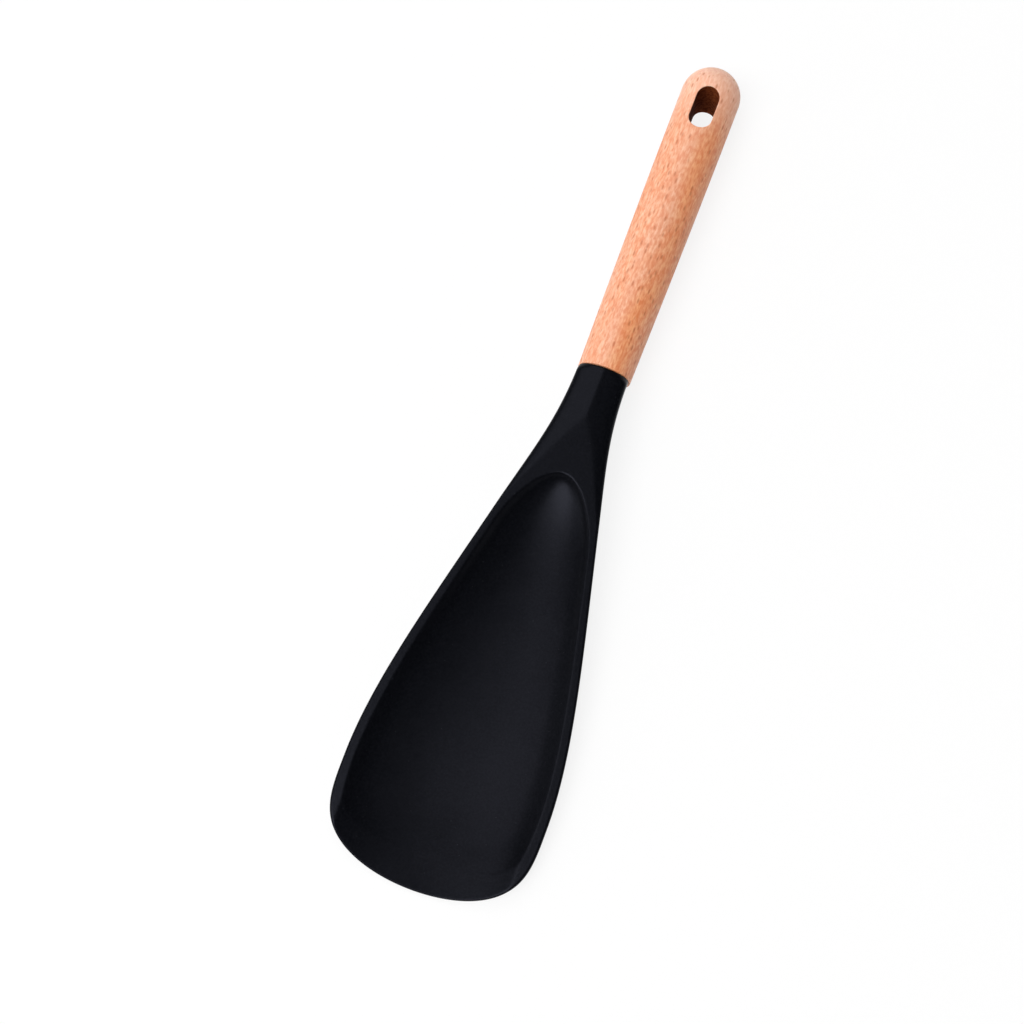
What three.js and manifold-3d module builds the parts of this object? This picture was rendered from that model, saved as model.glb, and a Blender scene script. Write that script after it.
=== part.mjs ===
// Spoon spatula: a black silicone scoop moulded over a steel core, glued into a turned beech handle.
// Millimetres, +Z up. It lies on its back on z = 0, handle towards +Y, tip towards -Y, scoop facing up.
import * as THREE from 'three';
import { mergeVertices } from 'three/addons/utils/BufferGeometryUtils.js';
import Module from 'manifold-3d';

const wasm = await Module();
wasm.setup();

const { clamp, degToRad, lerp, smoothstep } = THREE.MathUtils;

// Room left between two pieces that seat on each other, and how far a cutter runs past a face
const SEAT_GAP = 0.3;
const CUT_PAST = 1;

// Beech handle: a turned taper with a domed end and a hanging slot
const HANDLE_LENGTH = 128.6;
const HANDLE_END_RADIUS = 11.2;
const HANDLE_JOINT_RADIUS = 9.95;
const HANDLE_TAPER_POWER = 1.7;
const HANDLE_EDGE_CHAMFER = 0.4;
const SLOT_WIDTH = 8.6;
const SLOT_LENGTH = 17.1;
const SLOT_TO_END = 20.75;

// Steel shank: a round rod, grooved where it is glued and cut to a flat lap where it carries the plate
const SHANK_RADIUS = 3.5;
const SHANK_TAIL = 45;
const SHANK_REACH = 52;
const SHANK_END_CHAMFER = 0.8;
const LAP_LENGTH = 34;
const GROOVE_PITCH = 8;
const GROOVE_WIDTH = 3;
const GROOVE_DEPTH = 0.6;
const GROOVE_TO_TAIL_END = 6;

// Epoxy: the wall of glue round the shank's tail and the pool behind it, which set the handle's bore
const GLUE_WALL = 0.9;
const GLUE_BEHIND = 4.4;

// Core plate: pressed sheet under the scoop floor, with a tab on the shank and holes for the silicone
const PLATE_THICKNESS = 0.8;
const PLATE_DROP = 0.5;
const PLATE_INSET = 8;
const PLATE_TO_TIP = 33.5;
const TAB_OVERHANG = 2.5;
const TAB_LENGTH = 38;
const TAB_FLARE = 20;
const HOLE_RADIUS = 4;
const HOLE_FIRST_ROW = 87;
const HOLE_PITCH = 20;
const HOLE_SPACING = 14;

// Silicone head in plan, measured from the joint unless its name says from the tip
const HEAD_LENGTH = 194.4;
const BLADE_WIDTH = 74.5;
const TIP_LENGTH = 35.3;
const TIP_NOSE_WIDTH = 3;
const TIP_ROUNDNESS = 3.8;
const NECK_STEP = 0.55;
const NECK_LIP_RADIUS = 1.5;
const NECK_HANDLE = 21.5;
const FLANK_AT = 55.2;
const FLANK_WIDTH = 36.1;
const FLANK_SLOPE = 0.234;
const FLANK_HANDLE = 44;
const WIDEST_HANDLE = 27;

// Silicone head in height: the gabled neck, the sloping rim plane and the thin lip at the tip
const SHOULDER_AT = 19.7;
const SHOULDER_RISE = 9.5;
const GABLE_SLOPE = 0.15;
const GABLE_START_POWER = 2.8;
const GABLE_POWER = 4.5;
const GABLE_BOXED_BY = 3;
const NECK_EDGE_START = 2.5;
const NECK_EDGE_RISE = 5;
const NECK_EDGE_BAND = 0.3;
const RIM_ROUND = 0.9;
const ROUND_PER_WALL = 1 / 3;
const RIM_FALL_TO_TIP = 38;
const LIP_THICKNESS = 1.4;
const TIP_LIFT = 0.5;

// Scoop: hollowed below the rim plane, deepest along the middle, running out over the lip
const SCOOP_DEPTH = 5.9;
const SCOOP_START = 41.8;
const SCOOP_SHAPED_BY = 68;
const SCOOP_DEEP_BY = 78;
const SCOOP_BULGE = 2.5;
const SCOOP_HOLLOW_POWER = 2.2;
const RIM_WIDTH = 3.2;
const FLOOR_EASE = 0.6;

// Underside: a shell of even wall, a spine that tapers out of the neck and a flat sole to rest on
const BLADE_WALL = 3.2;
const SOLE_WALL = 2.6;
const SOLE_TO_TIP = 33.5;
const WALL_TAPER_TO_TIP = 28.5;
const SPINE_DEPTH = 3.5;
const SPINE_HALF_WIDTH = 11;
const SPINE_FADE_START = 60;
const SPINE_FADE_END = 128;
const NECK_BLEND_START = 28;
const NECK_BLEND_END = 72;

// Fineness of the facets, and where they change on a neck with no scoop
const TURN_STEPS = 48;
const TAPER_STEPS = 12;
const DOME_STEPS = 8;
const SLOT_STEPS = 10;
const ROD_STEPS = 24;
const FLOOR_STEPS = 7;
const RIM_STEPS = 5;
const BELLY_STEPS = 8;
const PLATE_STEPS = 6;
const TAB_STATIONS = 3;
const PLATE_STATIONS = 14;
const HEAD_STATIONS = { lip: 3, neck: 6, shoulder: 5, hollow: 11, blade: 11, tip: 12 };
const STATION_PACKING = 2;
const NECK_CREASE = 0.42;
const CURVE_HALVINGS = 40;
const WELD = 1e-4;

// Places worked out from the sizes above
const axisZ = HANDLE_END_RADIUS;
const jointY = (HEAD_LENGTH - HANDLE_LENGTH - SEAT_GAP) / 2;
const boreRadius = SHANK_RADIUS + GLUE_WALL + 2 * SEAT_GAP;
const boreDepth = SHANK_TAIL + GLUE_BEHIND + SEAT_GAP;
const neckRadius = HANDLE_JOINT_RADIUS - NECK_STEP;
const widestAt = HEAD_LENGTH - TIP_LENGTH;
const lipTop = LIP_THICKNESS + TIP_LIFT;
const rimSlope = (axisZ + SHOULDER_RISE - SCOOP_DEPTH - SOLE_WALL)
  / (HEAD_LENGTH - SOLE_TO_TIP - SHOULDER_AT);

// A closed mesh as a solid that can be joined and cut
function solid(geometry) {
  const bare = new THREE.BufferGeometry();
  bare.setAttribute('position', geometry.getAttribute('position'));
  bare.setIndex(geometry.getIndex());
  const merged = mergeVertices(bare, WELD);
  const corners = merged.getIndex().array;
  const triVerts = [];
  for (let i = 0; i < corners.length; i += 3) {
    const [a, b, c] = corners.slice(i, i + 3);
    if (a !== b && b !== c && c !== a) triVerts.push(a, b, c);
  }
  const vertProperties = merged.getAttribute('position').array;
  const mesh = new wasm.Mesh({ numProp: 3, vertProperties, triVerts: new Uint32Array(triVerts) });
  return new wasm.Manifold(mesh);
}

// A finished solid as a named piece
function piece(name, body, material) {
  const { vertProperties, triVerts } = body.getMesh();
  const geometry = new THREE.BufferGeometry();
  geometry.setAttribute('position', new THREE.BufferAttribute(new Float32Array(vertProperties), 3));
  geometry.setIndex(new THREE.BufferAttribute(new Uint32Array(triVerts), 1));
  geometry.computeVertexNormals();
  const mesh = new THREE.Mesh(geometry, material);
  mesh.name = name;
  return mesh;
}

// A skin over closed sections that all have as many points, each end drawn in to its own middle
function loft(sections, drawIn) {
  const skin = [drawIn(sections[0]), ...sections, drawIn(sections.at(-1))];
  const count = sections[0].length;
  const index = [];
  for (let i = 0; i + 1 < skin.length; i++) {
    for (let j = 0; j < count; j++) {
      const a = i * count + j;
      const b = i * count + ((j + 1) % count);
      index.push(a, a + count, b, b, a + count, b + count);
    }
  }
  const geometry = new THREE.BufferGeometry();
  const coordinates = skin.flat().flatMap((p) => p.toArray());
  geometry.setAttribute('position', new THREE.Float32BufferAttribute(coordinates, 3));
  geometry.setIndex(index);
  return geometry;
}

// A round section closes at its centre, a flat one along its middle line
function toCentre(section) {
  const centre = new THREE.Box3().setFromPoints(section).getCenter(new THREE.Vector3());
  return section.map(() => centre);
}

function toMiddleLine(section) {
  return section.map((p, i) => p.clone().lerp(section[section.length - 1 - i], 0.5));
}

// A solid turned about the handle's axis, from (radius, along) pairs; one of its flats lies underneath
function turned(profile, steps) {
  const geometry = new THREE.LatheGeometry(profile.map(([r, y]) => new THREE.Vector2(r, y)), steps);
  geometry.rotateY(Math.PI / steps);
  geometry.translate(0, 0, axisZ);
  return solid(geometry);
}

// Places from one value up to, but not at, another; a power above 1 packs them at the start
function spread(from, to, steps, power = 1) {
  return Array.from({ length: steps }, (_, i) => from + (to - from) * (i / steps) ** power);
}

// The same, packed towards the far end
function spreadBack(from, to, steps, power) {
  return Array.from({ length: steps }, (_, i) => to - (to - from) * (1 - i / steps) ** power);
}

// Where a curve that always runs forward stands at a given distance along
function curveAt(curve, along) {
  let low = 0;
  let high = 1;
  for (let i = 0; i < CURVE_HALVINGS; i++) {
    const middle = (low + high) / 2;
    if (curve.getPoint(middle).x < along) low = middle;
    else high = middle;
  }
  return curve.getPoint(low).y;
}

// Plan outline: the neck flares into the flank, which eases to the widest line
const flare = new THREE.CubicBezierCurve(
  new THREE.Vector2(0, neckRadius),
  new THREE.Vector2(NECK_HANDLE, neckRadius),
  new THREE.Vector2(FLANK_AT - NECK_HANDLE, FLANK_WIDTH / 2 - FLANK_SLOPE * NECK_HANDLE),
  new THREE.Vector2(FLANK_AT, FLANK_WIDTH / 2),
);
const flank = new THREE.CubicBezierCurve(
  new THREE.Vector2(FLANK_AT, FLANK_WIDTH / 2),
  new THREE.Vector2(FLANK_AT + FLANK_HANDLE, FLANK_WIDTH / 2 + FLANK_SLOPE * FLANK_HANDLE),
  new THREE.Vector2(widestAt - WIDEST_HANDLE, BLADE_WIDTH / 2),
  new THREE.Vector2(widestAt, BLADE_WIDTH / 2),
);

function halfWidth(q) {
  if (q < FLANK_AT) return curveAt(flare, q);
  if (q < widestAt) return curveAt(flank, q);
  const u = Math.min(1, (q - widestAt) / TIP_LENGTH);
  return Math.max(TIP_NOSE_WIDTH / 2, BLADE_WIDTH / 2 * Math.sqrt(1 - u ** TIP_ROUNDNESS));
}

// The sloping plane of the shoulder and rim
function rimPlane(q) {
  return axisZ + SHOULDER_RISE - (q - SHOULDER_AT) * rimSlope;
}

// The rim's height at the outer edge: the plane, dropping to the lip over the last stretch
function rimEdge(q) {
  const t = clamp((q - HEAD_LENGTH + RIM_FALL_TO_TIP) / RIM_FALL_TO_TIP, 0, 1);
  return rimPlane(q) - (rimPlane(HEAD_LENGTH) - lipTop) * t * t;
}

// Half the width that the hollow reaches at the rim plane
function scoopReach(q) {
  const top = clamp((SCOOP_SHAPED_BY - q) / (SCOOP_SHAPED_BY - SCOOP_START), 0, 1);
  return (halfWidth(Math.min(q, widestAt)) - RIM_WIDTH) * Math.sqrt(1 - top ** SCOOP_BULGE);
}

// Half the width of the scoop's mouth, which draws in where the rim falls to the tip
function scoopHalf(q) {
  if (q <= SCOOP_START) return 0;
  const floor = floorLine(q);
  const wall = clamp((rimEdge(q) - floor) / (rimPlane(q) - floor), 0, 1);
  return scoopReach(q) * wall ** (1 / SCOOP_HOLLOW_POWER);
}

// The scoop's floor along the middle, easing to the level of the lip
function floorLine(q) {
  const t = clamp((SCOOP_DEEP_BY - q) / (SCOOP_DEEP_BY - SCOOP_START), 0, 1);
  const floor = rimPlane(q) - SCOOP_DEPTH * Math.sqrt(1 - t * t);
  return lipTop + FLOOR_EASE * Math.log1p(Math.exp((floor - lipTop) / FLOOR_EASE));
}

// The rim and the scoop hollowed inside it, which also shapes the core plate below
function scoopSurface(x, q) {
  if (q <= SCOOP_START) return rimEdge(q);
  const across = Math.abs(x) / scoopReach(q);
  return Math.min(rimEdge(q), lerp(floorLine(q), rimPlane(q), across ** SCOOP_HOLLOW_POWER));
}

// Height of the widest line: level along the neck, then just under the rim of the blade
function edgeLine(q) {
  const rise = lerp(NECK_EDGE_START, NECK_EDGE_RISE, smoothstep(q, 0, GABLE_BOXED_BY));
  return Math.min(axisZ + rise, rimEdge(q) - RIM_ROUND);
}

// Height of the same line's lower edge, which parts from it as the blade's outer wall opens
function lowerEdgeLine(q) {
  const wall = rimEdge(q) - bladeWall(q) + edgeRadius(q);
  const opened = smoothstep(q, NECK_BLEND_START, NECK_BLEND_END);
  const band = edgeLine(q) - NECK_EDGE_BAND;
  return Math.min(band, lerp(band, wall, opened));
}

// The neck's gable: two flat slopes from a level ridge, rounded over into the sides, rounder at the joint
function gable(x, q) {
  const across = Math.min(1, Math.abs(x) / halfWidth(q));
  const power = lerp(GABLE_START_POWER, GABLE_POWER, smoothstep(q, 0, GABLE_BOXED_BY));
  const roof = axisZ + SHOULDER_RISE - GABLE_SLOPE * Math.abs(x);
  return lerp(edgeLine(q), roof, (1 - across ** power) ** (1 / power));
}

// The blade's wall, and the rounding that its edge can take
function bladeWall(q) {
  return lerp(BLADE_WALL, LIP_THICKNESS, smoothstep(q, HEAD_LENGTH - WALL_TAPER_TO_TIP, HEAD_LENGTH));
}

function edgeRadius(q) {
  return Math.min(RIM_ROUND, bladeWall(q) * ROUND_PER_WALL);
}

// How far the rounded edge falls away near the outline
function edgeRound(x, q) {
  const radius = edgeRadius(q);
  const into = Math.max(0, Math.abs(x) - halfWidth(q) + radius);
  return radius - Math.sqrt(Math.max(0, radius * radius - into * into));
}

function topHeight(x, q) {
  const rim = scoopSurface(x, q) - edgeRound(x, q);
  return q < SCOOP_SHAPED_BY ? Math.min(rim, gable(x, q)) : rim;
}

// Underside, as a depth below its edge: the round neck runs into the dished shell and its spine
function bottomHeight(x, q) {
  const across = Math.min(1, Math.abs(x) / halfWidth(q));
  const edge = lowerEdgeLine(q);
  const neck = (edge - axisZ + neckRadius) * Math.sqrt(1 - across * across);
  const dish = (rimEdge(q) - floorLine(q)) * (1 - across ** SCOOP_HOLLOW_POWER);
  const fade = 1 - smoothstep(q, SPINE_FADE_START, SPINE_FADE_END);
  const spine = SPINE_DEPTH * fade * Math.max(0, 1 - (x / SPINE_HALF_WIDTH) ** 2) ** 2;
  const shell = dish + spine + edgeRadius(q) - edgeRound(x, q);
  return Math.max(0, edge - lerp(neck, shell, smoothstep(q, NECK_BLEND_START, NECK_BLEND_END)));
}

// One closed section of the head: over the top from the middle to the edge, under it, and mirrored
function headSection(q) {
  const half = halfWidth(q);
  const crease = Math.max(scoopHalf(q), half * NECK_CREASE);
  const right = [];
  for (let i = 0; i <= FLOOR_STEPS; i++) {
    const x = crease * i / FLOOR_STEPS;
    right.push([x, topHeight(x, q)]);
  }
  for (let i = 1; i <= RIM_STEPS; i++) {
    const x = crease + (half - crease) * Math.sin(Math.PI / 2 * i / RIM_STEPS);
    right.push([x, topHeight(x, q)]);
  }
  for (let i = 0; i <= BELLY_STEPS; i++) {
    const x = half * Math.cos(Math.PI / 2 * i / BELLY_STEPS);
    right.push([x, bottomHeight(x, q)]);
  }
  const left = right.slice(1, -1).reverse().map(([x, z]) => [-x, z]);
  const lip = Math.max(0, NECK_LIP_RADIUS - q);
  const shrink = 1 - (NECK_LIP_RADIUS - Math.sqrt(NECK_LIP_RADIUS ** 2 - lip ** 2)) / neckRadius;
  return [...right, ...left].map(([x, z]) => new THREE.Vector3(x * shrink, -q, lerp(axisZ, z, shrink)));
}

// Stations along the head, close together where its outline or its scoop turns quickly
const headStations = [
  ...spread(0, NECK_LIP_RADIUS, HEAD_STATIONS.lip, STATION_PACKING),
  ...spread(NECK_LIP_RADIUS, SHOULDER_AT, HEAD_STATIONS.neck, STATION_PACKING),
  ...spread(SHOULDER_AT, SCOOP_START, HEAD_STATIONS.shoulder),
  ...spread(SCOOP_START, SCOOP_DEEP_BY, HEAD_STATIONS.hollow, STATION_PACKING),
  ...spread(SCOOP_DEEP_BY, widestAt, HEAD_STATIONS.blade),
  ...spreadBack(widestAt, HEAD_LENGTH, HEAD_STATIONS.tip, STATION_PACKING),
  HEAD_LENGTH,
];

// Core plate: the tab lies flat over the shank's lap, and the plate follows the scoop's floor
const lapZ = axisZ - PLATE_DROP - PLATE_THICKNESS / 2 - SEAT_GAP;
const tabStart = SHANK_REACH - LAP_LENGTH;
const tabEnd = tabStart + TAB_LENGTH;
const plateEnd = HEAD_LENGTH - PLATE_TO_TIP;

function plateHalf(q) {
  const blade = halfWidth(q) - PLATE_INSET;
  return lerp(SHANK_RADIUS + TAB_OVERHANG, blade, smoothstep(q, tabEnd, tabEnd + TAB_FLARE));
}

function plateMiddle(x, q) {
  return Math.min(axisZ - PLATE_DROP, scoopSurface(x, q) - BLADE_WALL / 2);
}

// The plate's body, made larger all round by a margin where the silicone makes room for it
function plateBody(margin) {
  const stations = [
    ...spread(tabStart - margin, tabEnd, TAB_STATIONS),
    ...spread(tabEnd, plateEnd + margin, PLATE_STATIONS),
    plateEnd + margin,
  ];
  return solid(loft(stations.map((q) => {
    const over = [];
    const under = [];
    for (let i = -PLATE_STEPS; i <= PLATE_STEPS; i++) {
      const x = (plateHalf(q) + margin) * i / PLATE_STEPS;
      const inside = clamp(x, -plateHalf(q), plateHalf(q));
      const z = plateMiddle(inside, clamp(q, tabStart, plateEnd));
      over.push(new THREE.Vector3(x, -q, z + PLATE_THICKNESS / 2 + margin));
      under.unshift(new THREE.Vector3(x, -q, z - PLATE_THICKNESS / 2 - margin));
    }
    return [...over, ...under];
  }), toMiddleLine));
}

// Keying holes in staggered rows: one on the middle line, then a pair beside it
function plateHoles(radius) {
  const holes = [];
  const rows = 1 + Math.floor((plateEnd - 2 * HOLE_RADIUS - HOLE_FIRST_ROW) / HOLE_PITCH);
  for (let row = 0; row < rows; row++) {
    const columns = row % 2 === 0 ? [0] : [-HOLE_SPACING, HOLE_SPACING];
    for (const x of columns) {
      const q = HOLE_FIRST_ROW + row * HOLE_PITCH;
      const post = new THREE.CylinderGeometry(radius, radius, 2 * axisZ, ROD_STEPS);
      post.rotateY(Math.PI / ROD_STEPS);
      post.rotateX(degToRad(90));
      post.translate(x, -q, axisZ);
      holes.push(solid(post));
    }
  }
  return holes.reduce((all, hole) => all.add(hole));
}

// Shank: the rod about the handle's axis, tail towards +Y, with a flat lap under the plate's tab
function shankProfile(margin) {
  const radius = SHANK_RADIUS + margin;
  const floor = radius - GROOVE_DEPTH;
  const profile = [[0, -SHANK_REACH - margin], [radius, -SHANK_REACH - margin]];
  const grooves = Math.floor((SHANK_TAIL - GROOVE_TO_TAIL_END - GROOVE_WIDTH) / GROOVE_PITCH);
  for (let i = grooves - 1; i >= 0; i--) {
    const middle = SHANK_TAIL - GROOVE_TO_TAIL_END - i * GROOVE_PITCH;
    const half = GROOVE_WIDTH / 2 - margin;
    profile.push([radius, middle - half], [floor, middle - half + GROOVE_DEPTH]);
    profile.push([floor, middle + half - GROOVE_DEPTH], [radius, middle + half]);
  }
  profile.push([radius, SHANK_TAIL + margin - SHANK_END_CHAMFER]);
  profile.push([radius - SHANK_END_CHAMFER, SHANK_TAIL + margin], [0, SHANK_TAIL + margin]);
  return profile;
}

function shankBody(margin) {
  const waste = 2 * (SHANK_RADIUS + CUT_PAST);
  const lap = new THREE.BoxGeometry(waste, LAP_LENGTH + waste, waste);
  const start = tabStart - SEAT_GAP + margin;
  lap.translate(0, -start - (LAP_LENGTH + waste) / 2, lapZ + margin + waste / 2);
  return turned(shankProfile(margin), ROD_STEPS).subtract(solid(lap));
}

// Epoxy: fills the bore behind the shank's tail and round it, keyed into its grooves
function epoxyBody() {
  const outer = boreRadius - SEAT_GAP;
  const mouth = 2 * SEAT_GAP;
  const inner = shankProfile(SEAT_GAP).filter(([, y]) => y > mouth);
  const around = [[SHANK_RADIUS + SEAT_GAP, mouth], [outer, mouth], [outer, boreDepth], [0, boreDepth]];
  return turned([...inner.reverse(), ...around], ROD_STEPS);
}

// Handle, measured from its joint face: the turned stick, its blind bore and its slot
function handleBody() {
  const domeAt = HANDLE_LENGTH - HANDLE_END_RADIUS;
  const taper = HANDLE_END_RADIUS - HANDLE_JOINT_RADIUS;
  const profile = [[0, 0], [HANDLE_JOINT_RADIUS - HANDLE_EDGE_CHAMFER, 0]];
  for (const y of [...spread(HANDLE_EDGE_CHAMFER, domeAt, TAPER_STEPS), domeAt]) {
    const t = 1 - (y - HANDLE_EDGE_CHAMFER) / (domeAt - HANDLE_EDGE_CHAMFER);
    profile.push([HANDLE_END_RADIUS - taper * t ** HANDLE_TAPER_POWER, y]);
  }
  for (let i = 1; i < DOME_STEPS; i++) {
    const a = Math.PI / 2 * i / DOME_STEPS;
    profile.push([HANDLE_END_RADIUS * Math.cos(a), domeAt + HANDLE_END_RADIUS * Math.sin(a)]);
  }
  profile.push([0, HANDLE_LENGTH]);
  const bore = [[0, -CUT_PAST], [boreRadius, -CUT_PAST], [boreRadius, boreDepth], [0, boreDepth]];
  const round = SLOT_WIDTH / 2;
  const straight = SLOT_LENGTH / 2 - round;
  const outline = new THREE.Shape();
  outline.absarc(0, straight, round, 0, Math.PI);
  outline.absarc(0, -straight, round, Math.PI, 2 * Math.PI);
  const depth = 2 * (HANDLE_END_RADIUS + CUT_PAST);
  const slot = new THREE.ExtrudeGeometry(outline, { depth, bevelEnabled: false, curveSegments: SLOT_STEPS });
  slot.translate(0, HANDLE_LENGTH - SLOT_TO_END, -CUT_PAST);
  return turned(profile, TURN_STEPS).subtract(turned(bore, ROD_STEPS)).subtract(solid(slot));
}

const silicone = new THREE.MeshStandardMaterial({ color: 0x1a1b1f, roughness: 0.55, metalness: 0 });
const beech = new THREE.MeshStandardMaterial({ color: 0xe8ab80, roughness: 0.6, metalness: 0 });
const plateSteel = new THREE.MeshStandardMaterial({ color: 0xb9bcc0, roughness: 0.35, metalness: 1 });
const rodSteel = new THREE.MeshStandardMaterial({ color: 0xa4a7ab, roughness: 0.3, metalness: 1 });
const epoxy = new THREE.MeshStandardMaterial({ color: 0xd8c48a, roughness: 0.3, metalness: 0 });

const pegs = plateHoles(HOLE_RADIUS - SEAT_GAP);
const plateRoom = plateBody(SEAT_GAP).subtract(pegs);
const headBlank = solid(loft(headStations.map(headSection), toCentre));
const head = headBlank.subtract(plateRoom).subtract(shankBody(SEAT_GAP));

const handle = piece('beech_handle', handleBody(), beech);
handle.position.y = SEAT_GAP;

const spatula = new THREE.Group();
spatula.position.y = jointY;
spatula.add(
  handle,
  piece('epoxy_plug', epoxyBody(), epoxy),
  piece('core_shank', shankBody(0), rodSteel),
  piece('core_plate', plateBody(0).subtract(plateHoles(HOLE_RADIUS)), plateSteel),
  piece('silicone_head', head, silicone),
);

export default spatula;
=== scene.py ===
"""Spoon spatula: a black silicone scoop moulded over a steel core and glued into a turned beech handle."""
import math

import bmesh
import bpy
import numpy as np
from mathutils import Matrix, Vector


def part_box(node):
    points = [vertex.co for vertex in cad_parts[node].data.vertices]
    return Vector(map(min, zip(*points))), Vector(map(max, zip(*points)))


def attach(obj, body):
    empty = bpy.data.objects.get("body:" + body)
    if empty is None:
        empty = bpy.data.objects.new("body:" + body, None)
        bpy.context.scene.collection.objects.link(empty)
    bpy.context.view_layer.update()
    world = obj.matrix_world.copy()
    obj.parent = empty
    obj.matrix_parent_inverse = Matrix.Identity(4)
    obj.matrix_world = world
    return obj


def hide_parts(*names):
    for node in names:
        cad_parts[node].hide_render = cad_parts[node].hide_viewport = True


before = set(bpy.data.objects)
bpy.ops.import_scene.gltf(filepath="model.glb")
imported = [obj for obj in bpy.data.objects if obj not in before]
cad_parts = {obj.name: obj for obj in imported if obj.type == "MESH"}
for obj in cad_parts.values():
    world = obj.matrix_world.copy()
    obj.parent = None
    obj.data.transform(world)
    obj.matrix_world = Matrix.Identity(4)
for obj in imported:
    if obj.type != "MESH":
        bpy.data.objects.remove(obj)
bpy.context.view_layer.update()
head_low, head_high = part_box("silicone_head")
handle_low, handle_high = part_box("beech_handle")
axis_height = (handle_low.z + handle_high.z) / 2
joint = Vector((0, head_high.y, axis_height))

# Camera
# It looks down on the open scoop from a little beyond the blade, with the handle running up to the right.
# It stands where the joint between wood and silicone falls on its place in the picture.
PICTURE_SIZE = 1024
JOINT_PIXEL = Vector((603.5, 376.36))
FOCAL_PIXELS = 2170.6
JOINT_DISTANCE = 0.7824
CAMERA_TILT = math.radians(14.7)
CAMERA_ROLL = math.radians(5.8)
CAMERA_LEAN = math.radians(21.24)

camera_data = bpy.data.cameras.new("camera")
camera_data.lens = camera_data.sensor_width * FOCAL_PIXELS / PICTURE_SIZE
camera = bpy.data.objects.new("camera", camera_data)
bpy.context.scene.collection.objects.link(camera)
bpy.context.scene.camera = camera
metres_per_pixel = JOINT_DISTANCE / FOCAL_PIXELS
joint_right = (JOINT_PIXEL.x - PICTURE_SIZE / 2) * metres_per_pixel
joint_up = (PICTURE_SIZE / 2 - JOINT_PIXEL.y) * metres_per_pixel
joint_from_camera = Vector((joint_right, joint_up, -JOINT_DISTANCE))
camera_turn = (
    Matrix.Rotation(CAMERA_ROLL, 4, "Y")
    @ Matrix.Rotation(CAMERA_TILT, 4, "X")
    @ Matrix.Rotation(CAMERA_LEAN, 4, "Z")
)
camera.matrix_world = Matrix.Translation(joint) @ camera_turn @ Matrix.Translation(-joint_from_camera)

# Studio
# A white paper floor turns up into a low white wall all round, under three softboxes left of the camera.
# The key is the brightest, the other two are dim, and the room is dark, so the silicone keeps its blacks.
FLOOR_DROP = 0.0001
FLOOR_RADIUS = 1.6
WALL_REACH = 0.8
WALL_HEIGHT = 0.55
FLOOR_TURNS = 96
FLOOR_WELD = 0.0001
WALL_STEPS = 8
FLOOR_COLOUR = (0.92, 0.92, 0.92, 1)
FLOOR_GLOW = 0.86
LIGHT_DISTANCE = 3
SOFTBOXES = {
    "key_softbox": {"left": 23, "up": -1, "wide": 20, "tall": 14, "glow": 8},
    "upper_softbox": {"left": 17, "up": 47, "wide": 24, "tall": 22, "glow": 2.3},
    "side_softbox": {"left": 60, "up": 3, "wide": 16, "tall": 14, "glow": 1.6},
}
ROOM_LIGHT = 0.14


def add(tree, kind, inputs=None, **settings):
    """Add a node with its settings, and feed its inputs from other nodes' outputs or with plain values."""
    node = tree.nodes.new(kind)
    for name, value in settings.items():
        setattr(node, name, value)
    for socket, source in (inputs or {}).items():
        if isinstance(source, bpy.types.NodeSocket):
            tree.links.new(source, node.inputs[socket])
        else:
            node.inputs[socket].default_value = source
    return node


def new_material(name):
    """A material with nodes, its tree, and its Principled shader."""
    material = bpy.data.materials.new(name)
    material.use_nodes = True
    return material, material.node_tree, material.node_tree.nodes["Principled BSDF"]


def new_piece(name, mesh):
    """An object at the origin that shows a mesh."""
    piece = bpy.data.objects.new(name, mesh)
    bpy.context.scene.collection.objects.link(piece)
    return piece


floor_material, tree, shader = new_material("white_paper")
tree.nodes.remove(shader)
paper = add(tree, "ShaderNodeBsdfDiffuse", {"Color": FLOOR_COLOUR})
glow = add(tree, "ShaderNodeEmission", {"Color": (1, 1, 1, 1), "Strength": 1})
path = add(tree, "ShaderNodeLightPath")
seen = add(
    tree,
    "ShaderNodeMath",
    {0: path.outputs["Is Camera Ray"], 1: path.outputs["Is Glossy Ray"]},
    operation="MAXIMUM",
)
seen = add(
    tree,
    "ShaderNodeMath",
    {0: seen.outputs[0], 1: path.outputs["Is Transmission Ray"]},
    operation="MAXIMUM",
)
share = add(tree, "ShaderNodeMath", {0: seen.outputs[0], 1: FLOOR_GLOW}, operation="MULTIPLY")
white = add(
    tree,
    "ShaderNodeMixShader",
    {0: share.outputs[0], 1: paper.outputs[0], 2: glow.outputs[0]},
)
tree.links.new(white.outputs[0], tree.nodes["Material Output"].inputs["Surface"])

floor_profile = [(0, 0), (FLOOR_RADIUS, 0)]
for step in range(1, WALL_STEPS + 1):
    angle = math.pi / 2 * step / WALL_STEPS
    floor_profile.append(
        (FLOOR_RADIUS + WALL_REACH * math.sin(angle), WALL_HEIGHT * (1 - math.cos(angle)))
    )
floor_shape = bmesh.new()
profile_points = [floor_shape.verts.new((r, 0, z - FLOOR_DROP)) for r, z in floor_profile]
profile_edges = [floor_shape.edges.new(pair) for pair in zip(profile_points, profile_points[1:])]
bmesh.ops.spin(
    floor_shape,
    geom=profile_points + profile_edges,
    axis=(0, 0, 1),
    cent=(0, 0, 0),
    angle=2 * math.pi,
    steps=FLOOR_TURNS,
    use_merge=True,
)
bmesh.ops.remove_doubles(floor_shape, verts=floor_shape.verts, dist=FLOOR_WELD)
for face in floor_shape.faces:
    face.normal_update()
    face.smooth = True
    if face.normal.z < 0:
        face.normal_flip()
floor_mesh = bpy.data.meshes.new("floor")
floor_shape.to_mesh(floor_mesh)
floor_shape.free()
floor_mesh.materials.append(floor_material)
floor = new_piece("floor", floor_mesh)


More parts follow.
